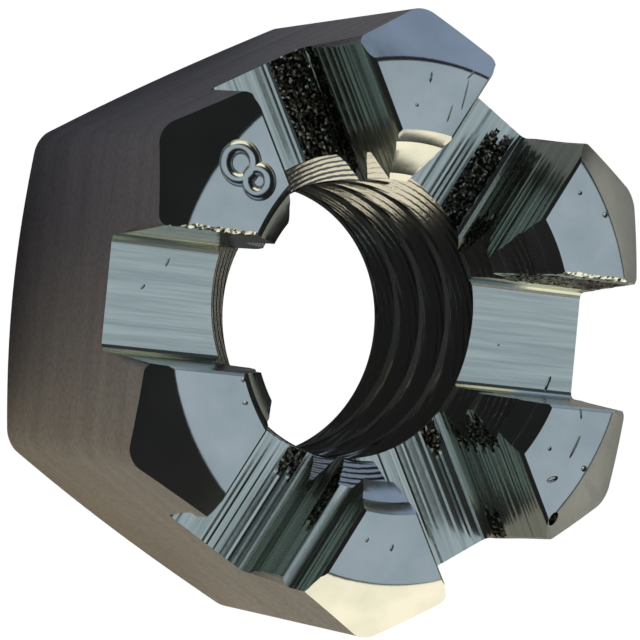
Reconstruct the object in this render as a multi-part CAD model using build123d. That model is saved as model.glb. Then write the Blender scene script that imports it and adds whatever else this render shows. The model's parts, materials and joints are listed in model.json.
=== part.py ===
from build123d import *
import math
import os

# Hexagon slotted (castle) nut for an M8 thread, with its slots in the flats of the hexagon.
# Millimetres. The bearing face lies on Z = 0, the bore runs along Z, and the slots open towards +Z.
# +X runs through the middle of a slot, so the corners of the hexagon lie 30 degrees off it.

# Thread. The bore is drilled to the thread's minor diameter.
thread_diameter = 8.0
thread_pitch = 1.25
BASIC_THREAD_DEPTHS = 1.0825  # both flanks of an ISO metric thread together, in pitches

# Hexagon
HEXAGON_SIDES = 6
across_flats = 13.0
nut_height = 8.4
corner_radius = 0.6  # the upright edges come from drawn bar and are soft

# Slots
slot_count = 6
slot_width = 2.6  # at the floor
slot_depth = 2.7
slot_draft = 5.0  # degrees that each wall leans outwards
slot_root_radius = 0.15
slot_lip = 0.1  # the slot's edges are rolled over by this much at the crown

# Turned ends
crown_flat_diameter = 12.25
crown_chamfer_angle = 30.0  # degrees from the crown's plane
bearing_flat_diameter = 12.35
bearing_chamfer_angle = 30.0  # degrees from the bearing face
crown_countersink_diameter = 9.0
bearing_countersink_diameter = 8.7
countersink_angle = 90.0  # included angle

# Dependent sizes
bore_radius = (thread_diameter - BASIC_THREAD_DEPTHS * thread_pitch) / 2
slot_floor_height = nut_height - slot_depth
widest_radius = across_flats / math.sqrt(3)  # to a sharp corner of the hexagon
cutter_reach = widest_radius * 1.2  # cutting tools pass the corners by a fifth


def slope(degrees):
    return math.tan(math.radians(degrees))


def hexagonal_blank():
    """Drawn hexagonal bar, cut off at the nut's height, with a flat towards +X."""
    section = RegularPolygon(across_flats / 2, HEXAGON_SIDES, major_radius=False, rotation=30)
    section = fillet(section.vertices(), corner_radius)
    return extrude(section, nut_height)


def revolved(points):
    """Solid turned about Z from points given as (radius, height)."""
    profile = Polyline(*[(radius, 0, height) for radius, height in points], close=True)
    return revolve(make_face(profile), Axis.Z)


def turned_envelope():
    """What the lathe leaves: both ends run out in flat cones that cut the hexagon's corners."""
    crown_radius = crown_flat_diameter / 2
    bearing_radius = bearing_flat_diameter / 2
    crown_drop = (cutter_reach - crown_radius) * slope(crown_chamfer_angle)
    bearing_rise = (cutter_reach - bearing_radius) * slope(bearing_chamfer_angle)
    return revolved([
        (0, 0),
        (bearing_radius, 0),
        (cutter_reach, bearing_rise),
        (cutter_reach, nut_height - crown_drop),
        (crown_radius, nut_height),
        (0, nut_height),
    ])


def bore():
    """Drilled bore with a countersink at each end."""
    wall = slope(countersink_angle / 2)
    crown_radius = crown_countersink_diameter / 2
    bearing_radius = bearing_countersink_diameter / 2
    return revolved([
        (0, 0),
        (bearing_radius, 0),
        (bore_radius, (bearing_radius - bore_radius) / wall),
        (bore_radius, nut_height - (crown_radius - bore_radius) / wall),
        (crown_radius, nut_height),
        (0, nut_height),
    ])


def slot():
    """One radial slot towards +X: drafted walls, rounded root and a rolled lip at the crown."""
    floor_half = slot_width / 2
    lip_height = nut_height - slot_lip
    lip_half = floor_half + (slot_depth - slot_lip) * slope(slot_draft)
    top_half = lip_half + slot_lip
    clear_height = nut_height + slot_depth
    section = Polyline(
        (0, -floor_half, slot_floor_height),
        (0, floor_half, slot_floor_height),
        (0, lip_half, lip_height),
        (0, top_half, nut_height),
        (0, top_half, clear_height),
        (0, -top_half, clear_height),
        (0, -top_half, nut_height),
        (0, -lip_half, lip_height),
        close=True,
    )
    section = make_face(section)
    section = fillet(section.vertices().sort_by(Axis.Z)[:2], slot_root_radius)
    return extrude(section, cutter_reach, dir=(1, 0, 0))


def castle_nut():
    nut = hexagonal_blank() & turned_envelope()
    nut -= bore()
    nut -= [location * slot() for location in PolarLocations(0, slot_count)]
    return nut


os.makedirs("parts", exist_ok=True)
export_step(castle_nut(), "parts/castle_nut.step")
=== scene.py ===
import json
import math

import bmesh
import bpy
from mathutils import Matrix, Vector


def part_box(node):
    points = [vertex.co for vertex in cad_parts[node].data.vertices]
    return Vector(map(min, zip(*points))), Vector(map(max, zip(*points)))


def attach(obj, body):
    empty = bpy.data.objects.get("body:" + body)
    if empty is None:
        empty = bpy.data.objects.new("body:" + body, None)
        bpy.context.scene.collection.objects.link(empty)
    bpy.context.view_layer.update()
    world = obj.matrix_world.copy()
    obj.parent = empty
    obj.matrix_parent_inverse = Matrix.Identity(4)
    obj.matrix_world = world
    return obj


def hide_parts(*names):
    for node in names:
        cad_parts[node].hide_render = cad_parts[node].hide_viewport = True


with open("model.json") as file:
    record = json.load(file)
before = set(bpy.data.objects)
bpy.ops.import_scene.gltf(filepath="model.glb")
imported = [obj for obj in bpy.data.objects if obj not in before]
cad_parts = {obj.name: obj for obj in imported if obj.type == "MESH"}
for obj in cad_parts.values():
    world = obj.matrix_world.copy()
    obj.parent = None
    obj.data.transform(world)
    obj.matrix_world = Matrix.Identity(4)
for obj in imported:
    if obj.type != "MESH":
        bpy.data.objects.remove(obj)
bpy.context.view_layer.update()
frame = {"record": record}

# A hexagon castle nut in bright zinc-plated steel, standing on its bearing face.
# It is modelled at a bench scale of one unit to the millimetre, and brought down to metres at the end.
MM = 0.001

low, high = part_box("castle_nut")
mounts = {mount["name"]: mount for mount in frame["record"]["mounts"]}

# Sizes read from the part, in millimetres
across_flats = (high.x - low.x) / MM
nut_height = (high.z - low.z) / MM
slot_depth = 2 * (nut_height - mounts["pin_slots_0"]["pos_m"][2] / MM)
bore_radius = mounts["thread"]["dims"]["r_mm"]

# Sizes in millimetres that the part's source gives as well
HEXAGON_SIDES = 6  # and slots, one through each flat
corner_radius = 0.6
slot_width = 2.6
slot_draft = math.radians(5)
slot_root_radius = 0.15
crown_flat_radius = 6.125
bearing_flat_radius = 6.175
end_chamfer = math.radians(30)
crown_countersink_radius = 4.5
bearing_countersink_radius = 4.35
thread_pitch = 1.25
thread_radius = 4.0

# Dependent sizes
hexagon_radius = across_flats / math.sqrt(3)
slot_floor = nut_height - slot_depth
clear_radius = hexagon_radius * 1.2  # a tool that passes the corners
pilot_radius = bore_radius - 0.1  # the hole before it is tapped
shank_radius = bore_radius - 0.3  # between the two countersinks, so that only their flares cut

# Sizes in millimetres of the fine form that only this model has
TURNED_SIDES = 144
ROUND_STEPS = 8  # facets of a rounded upright edge
OVERSHOOT = 1.0  # how far a tool runs out past the nut's ends
CLOSE = 1e-3  # how near two heights are when they are the same
COUNTING_DIRECTION = Vector((1, 7.3, 53.1))  # slanted, so that no two vertices lie level along it
edge_break = 0.07  # how far down the slots' rims are rolled over
corner_round = 0.25  # of the merlons' outer corners
end_round = 0.07  # how far the rounding reaches where the flat ends meet their chamfers

ring_pitch = 0.8  # of the turning marks in the countersinks
# The faces of one turning mark, outwards and upwards in ring pitches
ring_steps = ((0.40, 0.42), (0.20, 0.14), (0.08, 0.13), (0.20, 0.20))

last_cut = 0.03  # how much the last pass of the saw takes off
tooth_pitch = 0.07  # of the saw's marks in the slots
# How far the marks on the floor and on the walls of a slot stray. The two slots on X are the smooth ones.
tooth_wander = ((0.002, 0.004), (0.013, 0.015), (0.013, 0.015))
first_wall_strip = 3  # in tooth pitches above the floor, past the rounded root

tear_pitch = 0.065  # between the ridges of torn metal
tear_depth = 0.038
tear_margin = 0.2  # how far the ridges are prepared past a torn patch
ragged_reach = 0.16  # how far the ends of a torn patch run in and out
ragged_rate = 17  # of that run, in radians per millimetre
# Where a saw tore the metal, for each slot: ranges along it, across it and up, and whether the patch is
# painted dark, as shade in its pits
torn_patches = {
    0: (((3.3, 6.4), (1.25, 1.6), (6.3, 7.9), True), ((3.3, 6.4), (1.45, 1.8), (8.2, 8.5), False)),
    1: (((3.3, 6.1), (-1.1, -0.4), (5.6, 5.8), True), ((3.2, 4.1), (-1.6, -1.2), (5.9, 6.6), True)),
    2: (((3.2, 6.6), (-1.32, -0.4), (5.6, 5.85), True), ((3.2, 6.6), (-1.5, -1.3), (5.9, 6.2), True)),
    3: (((3.3, 6.4), (-1.8, -1.45), (8.2, 8.5), False),),
    4: (((3.1, 4.0), (0.4, 0.85), (5.6, 5.8), True), ((3.1, 5.0), (0.9, 1.3), (6.9, 7.35), True)),
    5: (((3.2, 3.9), (0.7, 1.1), (5.6, 5.8), True), ((3.2, 4.0), (1.3, 1.6), (6.0, 7.6), True),
        ((5.8, 6.6), (1.3, 1.6), (6.0, 6.5), True)),
}

# The step that one saw left in a wall
ledge_slot = 4
ledge_height = 7.4
ledge_width = 0.24
ledge_slope = 0.03  # the height over which the wall comes back out

# The numeral's loops: name, place and radius, and the groove that draws them
stamp_loops = (("upper_loop", (-4.77, 3.13), 0.37), ("lower_loop", (-4.27, 2.78), 0.28))
stamp_depth = 0.13
stamp_half_width = 0.17

crest_rub = 0.05  # length of each facet that rounds the thread's crests
crest_leans = (20, 40)  # of those facets, in degrees out from the bore's wall
tap_start = -2.986  # height at which the tap starts, which sets where the crests pass the slots

painted_shade_depth = 0.17  # the depth from which a dent takes the dark torn finish, painted shade for its hollow
# Dents in the crown and in the slot floors: place, length, width, direction in degrees and depth
nicks = (
    ((4.92, -2.52, 8.4), 0.62, 0.09, 66, 0.05),
    ((4.36, -3.34, 8.4), 0.34, 0.14, 20, 0.07),
    ((5.24, -3.02, 8.4), 0.18, 0.15, 0, 0.07),
    ((5.00, -1.70, 8.4), 0.30, 0.07, 100, 0.04),
    ((4.20, -2.62, 8.4), 0.12, 0.10, 0, 0.04),
    ((4.54, -4.28, 8.32), 0.36, 0.28, 60, 0.26),
    ((5.50, -3.40, 8.3), 0.30, 0.12, 50, 0.10),
    ((-0.04, 5.73, 8.4), 0.26, 0.07, 84, 0.04),
    ((0.93, 5.45, 8.4), 0.75, 0.05, 80, 0.03),
    ((1.08, 5.98, 8.4), 0.42, 0.05, 48, 0.03),
    ((0.56, 4.96, 8.4), 0.44, 0.05, 76, 0.03),
    ((4.39, 3.55, 8.4), 0.13, 0.11, 0, 0.04),
    ((5.17, 3.11, 8.4), 0.16, 0.14, 0, 0.05),
    ((-0.58, -5.10, 8.4), 0.13, 0.08, 60, 0.03),
    ((0.10, -5.24, 8.4), 0.18, 0.09, 70, 0.04),
    ((-4.08, -2.22, 8.4), 0.15, 0.10, 0, 0.03),
    ((-4.19, -1.71, 8.4), 0.12, 0.10, 0, 0.03),
    ((-0.35, 5.04, 8.4), 0.10, 0.08, 0, 0.03),
    ((-5.03, 0.86, 5.7), 0.30, 0.08, 70, 0.05),
    ((-5.60, 0.22, 5.7), 0.20, 0.08, 50, 0.05),
    ((4.42, 0.39, 5.7), 0.10, 0.08, 0, 0.03),
    ((4.22, -0.20, 5.7), 0.11, 0.09, 0, 0.04),
    ((3.72, 0.52, 5.7), 0.12, 0.09, 0, 0.03),
    ((5.78, -1.02, 5.7), 0.44, 0.12, 70, 0.08),
)

# Sizes of the stage, in metres
PANEL_DISTANCE = 0.4
FLOOR_RADIUS = 3
BACKDROP_RADIUS = 2.9
BENCH_RADIUS = 1


# ---------------------------------------------------------------- bench work

def bench_start(name):
    """Takes the primitive that was just added as the new piece, and opens it for shaping."""
    piece = bpy.context.object
    piece.name = name
    bpy.ops.object.transform_apply(location=True, rotation=True, scale=True)
    bpy.ops.object.mode_set(mode="EDIT")
    return piece


def pick(piece, kind, wanted):
    """In edit mode, selects only those vertices, edges or faces that wanted() accepts."""
    bpy.ops.mesh.select_mode(type={"verts": "VERT", "edges": "EDGE", "faces": "FACE"}[kind])
    bpy.ops.mesh.select_all(action="DESELECT")
    shape = bmesh.from_edit_mesh(piece.data)
    for item in getattr(shape, kind):
        if wanted(item):
            item.select_set(True)
    bmesh.update_edit_mesh(piece.data)


def middle(item):
    """The middle of an edge or face."""
    return sum((corner.co for corner in item.verts), Vector()) / len(item.verts)


def put_in_order(piece):
    """In edit mode, orders the vertices by place, so that a random move is the same every run."""
    shape = bmesh.from_edit_mesh(piece.data)
    shape.verts.sort(key=lambda vert: vert.co.dot(COUNTING_DIRECTION))
    bmesh.update_edit_mesh(piece.data)


def close_up():
    """Merges doubles, turns every face outwards and leaves edit mode."""
    bpy.ops.mesh.select_all(action="SELECT")
    bpy.ops.mesh.remove_doubles(threshold=1e-4)
    bpy.ops.mesh.normals_make_consistent(inside=False)
    bpy.ops.object.mode_set(mode="OBJECT")


def only(piece):
    """Makes a piece the one that is selected and active."""
    bpy.ops.object.select_all(action="DESELECT")
    piece.select_set(True)
    bpy.context.view_layer.objects.active = piece


def modify(piece, kind, **settings):
    """Adds a modifier with its settings and applies it."""
    only(piece)
    modifier = piece.modifiers.new(kind, kind)
    for setting, value in settings.items():
        setattr(modifier, setting, value)
    bpy.ops.object.modifier_apply(modifier=modifier.name)


def machine(piece, tool, operation="DIFFERENCE"):
    """Cuts a piece with a tool, which leaves its own finish, and puts the tool away."""
    modify(piece, "BOOLEAN", object=tool, operation=operation, solver="MANIFOLD", material_mode="TRANSFER")
    bpy.data.objects.remove(tool)


# ---------------------------------------------------------------- materials

def linear(hex_colour):
    """An sRGB hex colour as linear RGBA."""
    values = [int(hex_colour[i:i + 2], 16) / 255 for i in (1, 3, 5)]
    return [v / 12.92 if v <= 0.04045 else ((v + 0.055) / 1.055) ** 2.4 for v in values] + [1.0]


def add_node(material, kind, settings, inputs):
    """Adds a node with its settings. Each input is a number, a colour or the output that feeds it."""
    made = material.node_tree.nodes.new(kind)
    for setting, value in settings.items():
        setattr(made, setting, value)
    for socket, value in inputs.items():
        if isinstance(value, bpy.types.NodeSocket):
            material.node_tree.links.new(value, made.inputs[socket])
        else:
            made.inputs[socket].default_value = value
    return made


def new_metal(name, colour, roughness):
    """A metal of one colour, and the shader that its patterns are fed to."""
    material = bpy.data.materials.new(name)
    material.use_nodes = True
    shader = material.node_tree.nodes["Principled BSDF"]
    shader.inputs["Metallic"].default_value = 1.0
    shader.inputs["Base Color"].default_value = linear(colour)
    shader.inputs["Roughness"].default_value = roughness
    return material, shader


def millimetres(material, stretch=(1, 1, 1)):
    """Object coordinates in millimetres, drawn out along the axes whose stretch is below one."""
    place = add_node(material, "ShaderNodeTexCoord", {}, {})
    scale = [share / MM for share in stretch]
    mapping = add_node(material, "ShaderNodeMapping", {}, {"Vector": place.outputs["Object"], "Scale": scale})
    return mapping.outputs[0]


def blotches(material, size, detail, stretch=(1, 1, 1)):
    """Soft noise from 0 to 1 with patches of about that size in millimetres."""
    noise = add_node(material, "ShaderNodeTexNoise", {}, {
        "Vector": millimetres(material, stretch), "Scale": 1 / size, "Detail": detail,
    })
    return noise.outputs["Fac"]


def spread(material, value, low_in, high_in, low_out, high_out):
    """Carries a value from one range to another."""
    return add_node(material, "ShaderNodeMapRange", {}, {
        "Value": value, "From Min": low_in, "From Max": high_in, "To Min": low_out, "To Max": high_out,
    }).outputs[0]


def two_tone(material, share, first, second):
    """Goes from the first colour to the second with share."""
    return add_node(material, "ShaderNodeMix", {"data_type": "RGBA"}, {
        0: share, 6: linear(first), 7: linear(second),
    }).outputs[2]


def relief(material, shader, height, depth):
    """Feeds a height from 0 to 1, with its depth in millimetres, to the shader's normal."""
    bump = add_node(material, "ShaderNodeBump", {}, {
        "Height": height, "Distance": depth * MM, "Strength": 1.0,
    })
    material.node_tree.links.new(bump.outputs[0], shader.inputs["Normal"])


def drawn_zinc():
    """Zinc plate over cold drawn hexagon bar: dull, and banded across the bar by the drawing die.

    Its colour carries painted reflection: the flats towards -Y are painted brighter and warm brown, on the
    warm panel's side, and those towards +Y darker and violet.
    """
    material, shader = new_metal("drawn_bar_zinc_plated", "#B4AEA6", 0.4)
    bands = blotches(material, 0.5, 4, stretch=(0.12, 0.12, 1))
    grain = blotches(material, 0.12, 6)
    across = add_node(material, "ShaderNodeSeparateXYZ", {}, {"Vector": millimetres(material)}).outputs["Y"]
    # painted reflection: bright warm colours towards -Y and dark violet ones towards +Y, for the light the
    # flats catch off the bench
    violet = two_tone(material, bands, "#A9A4AF", "#D2CED8")
    brown = two_tone(material, bands, "#DAD3C9", "#FFFAF2")
    painted_side_reflection = add_node(material, "ShaderNodeMix", {"data_type": "RGBA"}, {
        0: spread(material, across, -5.0, 1.5, 0, 1), 6: brown, 7: violet,
    }).outputs[2]
    speckles = two_tone(material, spread(material, grain, 0.3, 0.6, 0, 1), "#E8E6E4", "#FFFFFF")
    speckled = add_node(material, "ShaderNodeMix", {"data_type": "RGBA", "blend_type": "MULTIPLY"}, {
        0: 1.0, 6: painted_side_reflection, 7: speckles,
    }).outputs[2]
    material.node_tree.links.new(speckled, shader.inputs["Base Color"])
    material.node_tree.links.new(spread(material, bands, 0.3, 0.7, 0.48, 0.36), shader.inputs["Roughness"])
    relief(material, shader, grain, 0.004)
    return material


def turned_zinc():
    """Bright zinc plate over turned steel: smooth, shiny, and faintly cloudy and blue."""
    material, shader = new_metal("turned_steel_zinc_plated", "#C3C8CB", 0.2)
    clouds = blotches(material, 1.4, 4)
    colour = two_tone(material, spread(material, clouds, 0.35, 0.65, 0, 1), "#BBC3C0", "#CCD0CE")
    material.node_tree.links.new(colour, shader.inputs["Base Color"])
    relief(material, shader, blotches(material, 0.5, 5), 0.004)
    return material


def sawn_zinc(direction):
    """Bright zinc plate over sawn steel, with fine streaks along the slots of one direction in degrees.

    The saw's real scratches are too fine to show, so the streaks are the coarsest of them.
    """
    streak_width = 0.16
    streak_length = 30  # in streak widths
    material, shader = new_metal("sawn_slot_zinc_plated_%d" % direction, "#C0C8C4", 0.2)
    place = add_node(material, "ShaderNodeTexCoord", {}, {}).outputs["Object"]
    along = add_node(material, "ShaderNodeMapping", {"vector_type": "TEXTURE"}, {
        "Vector": place, "Rotation": (0, 0, math.radians(direction)), "Scale": (streak_length * MM, MM, MM),
    }).outputs[0]
    streaks = add_node(material, "ShaderNodeTexNoise", {}, {
        "Vector": along, "Scale": 1 / streak_width, "Detail": 6.0, "Roughness": 0.65,
    }).outputs["Fac"]
    colour = two_tone(material, spread(material, streaks, 0.35, 0.65, 0, 1), "#B2BBB5", "#D0D7CE")
    material.node_tree.links.new(colour, shader.inputs["Base Color"])
    material.node_tree.links.new(spread(material, streaks, 0.3, 0.7, 0.25, 0.17), shader.inputs["Roughness"])
    relief(material, shader, blotches(material, 0.15, 4), 0.002)
    return material


def torn_zinc():
    """Where the saw tore the steel, and in the deepest dents: a dark colour painted in as shade in their
    hollows, mottled at random with a lighter grain.
    """
    material, shader = new_metal("torn_steel_zinc_plated", "#6E706A", 0.25)
    grain = blotches(material, 0.08, 3)
    # painted shade: dark mottling that stands for the shade in torn pits and deep dents
    colour = two_tone(material, spread(material, grain, 0.5, 0.68, 0, 1), "#34352F", "#A9A693")
    material.node_tree.links.new(colour, shader.inputs["Base Color"])
    return material


def tapped_zinc():
    """Zinc plate over a tapped thread: a little darker, as painted shade for the inside of the bore.

    The tap's teeth leave fine lines along the helix.
    """
    line_pitch = 0.07
    material, shader = new_metal("tapped_thread_zinc_plated", "#B2B4B0", 0.17)
    lines = add_node(material, "ShaderNodeTexWave", {"bands_direction": "Z"}, {
        "Vector": millimetres(material), "Scale": math.pi / (10 * line_pitch),  # the node draws 10 to a turn
        "Distortion": 1.2, "Detail": 3.0, "Detail Scale": 2.0,
    })
    relief(material, shader, lines.outputs["Fac"], 0.005)
    return material


# ---------------------------------------------------------------- the nut

def hexagon_bar(finish):
    """A length of drawn hexagon bar with soft upright edges, longer than the nut."""
    bpy.ops.mesh.primitive_cylinder_add(
        vertices=HEXAGON_SIDES, radius=hexagon_radius, depth=nut_height + 2 * OVERSHOOT,
        location=(0, 0, nut_height / 2),
    )
    bar = bench_start("castle_nut_body")
    pick(bar, "edges", lambda edge: abs(edge.verts[0].co.z - edge.verts[1].co.z) > nut_height / 2)
    set_back = corner_radius * math.tan(math.pi / HEXAGON_SIDES)
    bpy.ops.mesh.bevel(offset=set_back, segments=ROUND_STEPS, affect="EDGES")
    close_up()
    bar.data.materials.append(finish)
    return bar


def turning_envelope(finish):
    """What the lathe leaves of the bar: a drum with a cone at each end."""
    crown_drop = (clear_radius - crown_flat_radius) * math.tan(end_chamfer)
    bearing_rise = (clear_radius - bearing_flat_radius) * math.tan(end_chamfer)
    drum_height = nut_height - crown_drop - bearing_rise
    bpy.ops.mesh.primitive_cylinder_add(
        vertices=TURNED_SIDES, radius=clear_radius, depth=drum_height,
        location=(0, 0, bearing_rise + drum_height / 2),
    )
    drum = bench_start("turning_envelope")
    ends = ((1, crown_flat_radius, crown_drop), (-1, bearing_flat_radius, bearing_rise))
    for side, radius, rise in ends:
        pick(drum, "faces", lambda face: face.normal.z * side > 0.9)
        bpy.ops.mesh.extrude_region_move(TRANSFORM_OT_translate={"value": (0, 0, side * rise)})
        shrink = radius / clear_radius
        bpy.ops.transform.resize(value=(shrink, shrink, 1), center_override=(0, 0, 0))
        bpy.ops.mesh.region_to_loop()
        bpy.ops.mesh.bevel(offset=end_round, segments=3, affect="EDGES")
    close_up()
    drum.data.materials.append(finish)
    return drum


def pilot_drill(finish):
    """A plain hole, a little smaller than the one that is tapped."""
    bpy.ops.mesh.primitive_cylinder_add(
        vertices=TURNED_SIDES, radius=pilot_radius, depth=nut_height + 2 * OVERSHOOT,
        location=(0, 0, nut_height / 2),
    )
    drill = bench_start("pilot_drill")
    close_up()
    drill.data.materials.append(finish)
    return drill


def countersinks(finish):
    """A shank with a 90 degree flare at each end that carries the rings of its turning."""
    crown_depth = crown_countersink_radius - shank_radius
    bearing_depth = bearing_countersink_radius - shank_radius
    length = nut_height - crown_depth - bearing_depth
    bpy.ops.mesh.primitive_cylinder_add(
        vertices=TURNED_SIDES, radius=shank_radius, depth=length, location=(0, 0, bearing_depth + length / 2)
    )
    drill = bench_start("countersinks")
    for side, depth in ((1, crown_depth), (-1, bearing_depth)):
        pick(drill, "faces", lambda face: face.normal.z * side > 0.9)
        radius = shank_radius
        rings = math.ceil((depth + OVERSHOOT) / ring_pitch)
        for outward, up in ring_steps * rings:
            rise = side * ring_pitch * up
            bpy.ops.mesh.extrude_region_move(TRANSFORM_OT_translate={"value": (0, 0, rise)})
            wider = radius + ring_pitch * outward
            bpy.ops.transform.resize(value=(wider / radius, wider / radius, 1), center_override=(0, 0, 0))
            radius = wider
    close_up()
    drill.data.materials.append(finish)
    return drill


def slot_outline(finish, number, extra=0.0):
    """The outline of one slot, as if at +X, on a flat sheet: leaning walls, rounded roots, rolled rims.

    It can be extra wide and deep by some millimetres all round.
    """
    top = nut_height + OVERSHOOT
    floor = slot_floor - extra
    width = slot_width + 2 * extra
    bpy.ops.mesh.primitive_plane_add(
        size=1, location=(0, 0, (floor + top) / 2), rotation=(math.pi / 2, 0, math.pi / 2)
    )
    saw = bench_start("slot_saw")
    saw.data.materials.append(finish)
    pick(saw, "verts", lambda vert: True)
    bpy.ops.transform.resize(value=(1, width, top - floor), center_override=(0, 0, (floor + top) / 2))
    pick(saw, "verts", lambda vert: abs(vert.co.z - top) < CLOSE)
    widening = 1 + 2 * (top - floor) * math.tan(slot_draft) / width
    bpy.ops.transform.resize(value=(1, widening, 1), center_override=(0, 0, top))
    pick(saw, "verts", lambda vert: abs(vert.co.z - floor) < CLOSE)
    bpy.ops.mesh.bevel(offset=slot_root_radius, segments=3, affect="VERTICES")
    rim_start = nut_height - edge_break
    bpy.ops.mesh.select_all(action="SELECT")
    bpy.ops.mesh.bisect(plane_co=(0, 0, rim_start), plane_no=(0, 0, 1))
    pick(saw, "verts", lambda vert: abs(vert.co.z - top) < CLOSE)
    half = width / 2 + (top - floor) * math.tan(slot_draft)
    bpy.ops.transform.resize(value=(1, 1 + (top - rim_start) / half, 1), center_override=(0, 0, top))
    if number == ledge_slot:
        for height in (ledge_height, ledge_height + ledge_slope):
            bpy.ops.mesh.select_all(action="SELECT")
            bpy.ops.mesh.bisect(plane_co=(0, 0, height), plane_no=(0, 0, 1))
        pick(saw, "verts", lambda vert: vert.co.z < ledge_height + CLOSE and vert.co.y > 0)
        bpy.ops.transform.resize(value=(1, 1 - 2 * ledge_width / slot_width, 1), center_override=(0, 0, 0))
    return saw


def draw_out(saw):
    """Draws the outline of a slot out along X past the corners of the hexagon."""
    pick(saw, "faces", lambda face: True)
    bpy.ops.mesh.extrude_region_move(TRANSFORM_OT_translate={"value": (clear_radius, 0, 0)})


def slot_saw(finish, number):
    """The tool that saws one slot."""
    saw = slot_outline(finish, number)
    draw_out(saw)
    close_up()
    return saw


def worn_saw(finish, torn_finish, number):
    """The saw's last pass through one slot, a little larger.

    Its chipped teeth leave strips along the slot, and its dull ones tear patches.
    """
    floor_wander, wall_wander = tooth_wander[number % len(tooth_wander)]
    saw = slot_outline(finish, number, last_cut)
    floor_strips = round(slot_width / tooth_pitch)
    wall_strips = round(slot_depth / tooth_pitch)
    cuts = []
    for strip in range(1, floor_strips):
        cuts.append(((0, slot_width * (strip / floor_strips - 0.5), 0), (0, 1, 0)))
    for strip in range(first_wall_strip, first_wall_strip + wall_strips):
        cuts.append(((0, 0, slot_floor + strip * tooth_pitch), (0, 0, 1)))
    for place, across in cuts:
        bpy.ops.mesh.select_all(action="SELECT")
        bpy.ops.mesh.bisect(plane_co=place, plane_no=across)
    pick(saw, "verts", lambda vert: vert.is_boundary and vert.co.z < slot_floor - last_cut + CLOSE)
    bpy.ops.transform.vertex_random(offset=floor_wander, seed=number + 1)
    pick(saw, "verts", lambda vert: vert.is_boundary
         and slot_floor + slot_root_radius < vert.co.z < nut_height + tooth_pitch)
    bpy.ops.transform.vertex_random(offset=wall_wander, seed=number + 11)
    pick(saw, "verts", lambda vert: True)
    bpy.ops.transform.resize(value=(0, 1, 1), center_override=(0, 0, 0))
    draw_out(saw)
    saw.data.materials.append(torn_finish)
    for patch in torn_patches[number]:
        tear(saw, *patch)
    close_up()
    return saw


def tear(saw, along, across, up, dark):
    """Roughens a patch of a saw's side, with ragged ends."""
    def inside(place):
        ragged = Vector((ragged_reach * math.sin(ragged_rate * (place[1] + place[2])), 0, 0))
        ranges = zip(Vector(place) + ragged, (along, across, up))
        return all(start < value < end for value, (start, end) in ranges)

    def beside_patch(face):
        spot = middle(face)
        return inside((sum(along) / 2, spot.y, spot.z)) and abs(face.normal.x) < 0.9

    start = along[0] - tear_margin
    end = along[1] + tear_margin
    steps = round((end - start) / tear_pitch)
    for step in range(steps + 1):
        pick(saw, "faces", beside_patch)
        bpy.ops.mesh.bisect(plane_co=(start + (end - start) * step / steps, 0, 0), plane_no=(1, 0, 0))
    # painted shade: a patch marked dark takes the dark torn finish, standing for the shade in its pits
    if dark:
        pick(saw, "faces", lambda face: inside(middle(face)) and abs(face.normal.x) < 0.9)
        saw.active_material_index = 1
        bpy.ops.object.material_slot_assign()
    put_in_order(saw)
    pick(saw, "verts", lambda vert: inside(vert.co))
    bpy.ops.transform.vertex_random(offset=tear_depth, seed=steps)


def turn_to_slot(saw, number):
    """Turns a saw to its slot."""
    only(saw)
    bpy.ops.object.mode_set(mode="EDIT")
    bpy.ops.mesh.select_all(action="SELECT")
    turn = number * 2 * math.pi / HEXAGON_SIDES
    bpy.ops.transform.rotate(value=-turn, orient_axis="Z", center_override=(0, 0, 0))
    bpy.ops.object.mode_set(mode="OBJECT")
    return saw


def round_corners(piece):
    """Rounds the long, sharp upright edges where the slots run out of the flats."""
    def corner(edge):
        rise = abs(edge.verts[0].co.z - edge.verts[1].co.z)
        outer = middle(edge).xy.length > across_flats / 2 - 0.1
        return rise > 1 and outer and edge.calc_face_angle() > math.radians(50)

    only(piece)
    bpy.ops.object.mode_set(mode="EDIT")
    pick(piece, "edges", corner)
    bpy.ops.mesh.bevel(offset=corner_round, segments=ROUND_STEPS, affect="EDGES")
    bpy.ops.object.mode_set(mode="OBJECT")


def nick(finish, number):
    """The tool that strikes one dent."""
    place, length, width, direction, depth = nicks[number]
    bpy.ops.mesh.primitive_uv_sphere_add(segments=24, ring_count=16, radius=1, location=place)
    bpy.context.object.rotation_euler = (0, 0, math.radians(direction))
    bpy.context.object.scale = (length / 2, width / 2, depth)
    dent = bench_start("nick_%d" % number)
    close_up()
    dent.data.materials.append(finish)
    return dent


def numeral_eight(finish):
    """The strength grade, stamped as two loops that touch."""
    loops = []
    flatten = stamp_depth / stamp_half_width
    for name, place, radius in stamp_loops:
        bpy.ops.mesh.primitive_torus_add(
            major_radius=radius, minor_radius=stamp_half_width, major_segments=48, minor_segments=32,
            location=(*place, nut_height),
        )
        loop = bench_start(name)
        pick(loop, "verts", lambda vert: True)
        bpy.ops.transform.resize(value=(1, 1, flatten), center_override=(0, 0, nut_height))
        close_up()
        loop.data.materials.append(finish)
        loops.append(loop)
    return loops


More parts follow.
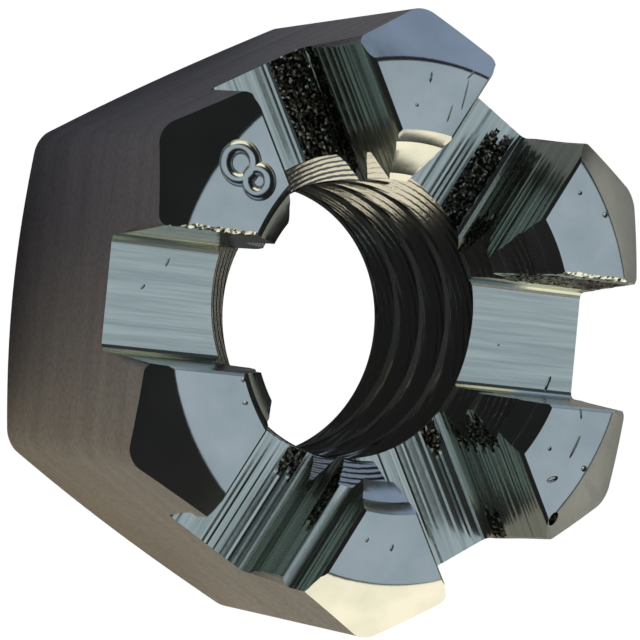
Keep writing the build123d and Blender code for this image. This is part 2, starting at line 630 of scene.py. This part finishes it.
def tap(finish):
    """The tap: a coarse metric profile with rubbed crests, swept up a right-hand helix."""
    crest_land = thread_pitch / 4
    root_land = thread_pitch / 8
    flank = thread_radius - bore_radius
    flank_rise = (thread_pitch - crest_land - root_land) / 2
    flank_slope = math.tan(math.radians(30))
    bpy.ops.mesh.primitive_plane_add(size=1)
    cutter = bench_start("tap")
    pick(cutter, "verts", lambda vert: True)
    bpy.ops.mesh.merge(type="CENTER")
    bpy.ops.transform.translate(value=(bore_radius, 0, tap_start))
    leans = [math.radians(lean) for lean in crest_leans]
    rub = [(crest_rub * math.sin(lean), crest_rub * math.cos(lean)) for lean in leans]
    rub_out, rub_up = (sum(parts) for parts in zip(*rub))
    crest_land -= 2 * (rub_up - rub_out * flank_slope)
    flank -= rub_out
    flank_rise -= rub_out * flank_slope
    profile = [(0, crest_land), *rub, (flank, flank_rise), (0, root_land), (-flank, flank_rise)]
    profile += [(-outward, up) for outward, up in reversed(rub)]
    for outward, up in profile:
        bpy.ops.mesh.extrude_region_move(TRANSFORM_OT_translate={"value": (outward, 0, up)})
    bpy.ops.object.mode_set(mode="OBJECT")
    turns = math.ceil((nut_height + 2 * OVERSHOOT - tap_start) / thread_pitch) + 1
    modify(cutter, "SCREW", screw_offset=thread_pitch, iterations=turns, steps=TURNED_SIDES,
           render_steps=TURNED_SIDES, use_merge_vertices=True, merge_threshold=1e-4)
    bpy.ops.object.mode_set(mode="EDIT")
    bpy.ops.mesh.select_all(action="SELECT")
    bpy.ops.mesh.remove_doubles(threshold=CLOSE)
    for end in (-OVERSHOOT / 2, nut_height + OVERSHOOT):
        bpy.ops.mesh.select_all(action="SELECT")
        bpy.ops.mesh.bisect(plane_co=(0, 0, end), plane_no=(0, 0, 1), use_fill=True,
                            clear_inner=end < 0, clear_outer=end > 0)
    close_up()
    cutter.data.materials.append(finish)
    return cutter


def castle_nut():
    """The nut, made by the steps that make a real one, then stamped and knocked about."""
    drawn, turned, torn, tapped = drawn_zinc(), turned_zinc(), torn_zinc(), tapped_zinc()
    sawn = [sawn_zinc(direction) for direction in (0, 60, 120)]
    nut = hexagon_bar(drawn)
    machine(nut, pilot_drill(turned))
    for number in range(HEXAGON_SIDES):
        machine(nut, turn_to_slot(slot_saw(sawn[number % 3], number), number))
    round_corners(nut)
    machine(nut, turning_envelope(turned), "INTERSECT")
    for number in range(HEXAGON_SIDES):
        machine(nut, turn_to_slot(worn_saw(sawn[number % 3], torn, number), number))
    machine(nut, countersinks(turned))
    machine(nut, tap(tapped))
    for loop in numeral_eight(turned):
        machine(nut, loop)
    for number in range(len(nicks)):
        depth = nicks[number][-1]
        # a deep dent takes the dark torn finish, painted shade for its hollow
        machine(nut, nick(torn if depth > painted_shade_depth else turned, number))
    bring_to_size(nut, [*sawn, torn])
    return nut


def bring_to_size(piece, flat_finishes):
    """From bench scale to metres, with its place in its mesh. The strips of some finishes stay flat."""
    only(piece)
    piece.scale = (MM, MM, MM)
    bpy.ops.object.transform_apply(location=True, rotation=True, scale=True)
    modify(piece, "TRIANGULATE", min_vertices=5)
    bpy.ops.object.shade_smooth_by_angle(angle=math.radians(14))
    bpy.ops.object.mode_set(mode="EDIT")
    pick(piece, "faces", lambda face: piece.data.materials[face.material_index] in flat_finishes)
    bpy.ops.mesh.faces_shade_flat()
    bpy.ops.object.mode_set(mode="OBJECT")
    modify(piece, "WEIGHTED_NORMAL", mode="FACE_AREA", weight=80, keep_sharp=True)


# ---------------------------------------------------------------- stage

def aim(thing, direction):
    """Turns a lamp so that it shines along a direction."""
    thing.rotation_euler = Vector(direction).to_track_quat("-Z", "Y").to_euler()


def softbox(name, azimuth, elevation, width, height, radiance, colour):
    """A soft panel, placed by the angles at which the nut sees it, all in degrees."""
    turn, lift = math.radians(azimuth), math.radians(elevation)
    towards = Vector((math.cos(turn) * math.cos(lift), math.sin(turn) * math.cos(lift), math.sin(lift)))
    lamp = bpy.data.objects.new(name, bpy.data.lights.new(name, "AREA"))
    bpy.context.collection.objects.link(lamp)
    lamp.location = towards * PANEL_DISTANCE
    aim(lamp, -towards)
    lamp.data.shape = "RECTANGLE"
    lamp.data.size = 2 * PANEL_DISTANCE * math.tan(math.radians(width / 2))
    lamp.data.size_y = 2 * PANEL_DISTANCE * math.tan(math.radians(height / 2))
    lamp.data.color = linear(colour)[:3]
    lamp.data.energy = radiance * math.pi * lamp.data.size * lamp.data.size_y
    lamp.visible_camera = False


def plain_surface(name, colour, glow):
    """A matt stage surface that gives off some light of its own."""
    material = bpy.data.materials.new(name)
    material.use_nodes = True
    shader = material.node_tree.nodes["Principled BSDF"]
    shader.inputs["Base Color"].default_value = linear(colour)
    shader.inputs["Roughness"].default_value = 1.0
    shader.inputs["Specular IOR Level"].default_value = 0.0
    shader.inputs["Emission Color"].default_value = linear(colour)
    shader.inputs["Emission Strength"].default_value = glow
    return material


def set_stage():
    """A white floor and backdrop that only the camera sees, and a dark bench that only reflections see."""
    bpy.ops.mesh.primitive_circle_add(
        vertices=64, radius=FLOOR_RADIUS, fill_type="NGON", location=(0, 0, -0.02 * MM)
    )
    floor = bpy.context.object
    floor.name = "floor"
    floor.data.materials.append(plain_surface("floor_paper", "#FFFFFF", 1.0))
    bpy.ops.mesh.primitive_uv_sphere_add(radius=BACKDROP_RADIUS)
    backdrop = bpy.context.object
    backdrop.name = "backdrop"
    backdrop.data.materials.append(plain_surface("backdrop_paper", "#FFFFFF", 1.0))
    for seen in (floor, backdrop):
        seen.visible_glossy = False
        seen.visible_diffuse = False
        seen.visible_shadow = False
    bpy.ops.mesh.primitive_circle_add(
        vertices=64, radius=BENCH_RADIUS, fill_type="NGON", location=(0, 0, -0.01 * MM)
    )
    bench = bpy.context.object
    bench.name = "bench"
    bench.data.materials.append(plain_surface("bench_top", "#E8E4DC", 0.01))
    bench.visible_camera = False

    world = bpy.data.worlds.new("dim_studio")
    bpy.context.scene.world = world
    world.use_nodes = True
    world.node_tree.nodes["Background"].inputs["Color"].default_value = (0.02, 0.02, 0.02, 1)

    softbox("top_panel", 0, 62, 36, 70, 0.68, "#DDEBFA")
    softbox("warm_panel", -58, 23, 50, 50, 1.6, "#FFF2D8")
    softbox("cool_panel", 60, 14, 46, 34, 0.55, "#C8DCFF")
    softbox("low_panel", 0, 7, 50, 12, 0.5, "#F4EEE0")


def set_camera():
    """A long lens that looks down on the crown from a little to the left."""
    camera = bpy.data.objects.new("camera", bpy.data.cameras.new("camera"))
    bpy.context.collection.objects.link(camera)
    camera.location = Vector((-34.695, -2.242, 66.976)) * MM
    camera.rotation_euler = [math.radians(angle) for angle in (-1.2416, -28.9197, 6.2234)]
    camera.data.lens = 165
    camera.data.sensor_width = 36
    camera.data.clip_start = 0.002
    camera.data.clip_end = 10
    bpy.context.scene.camera = camera


bpy.ops.object.select_all(action="DESELECT")
nut = castle_nut()
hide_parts("castle_nut")
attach(nut, "root")
set_stage()
set_camera()
bpy.context.scene.view_settings.view_transform = "Standard"
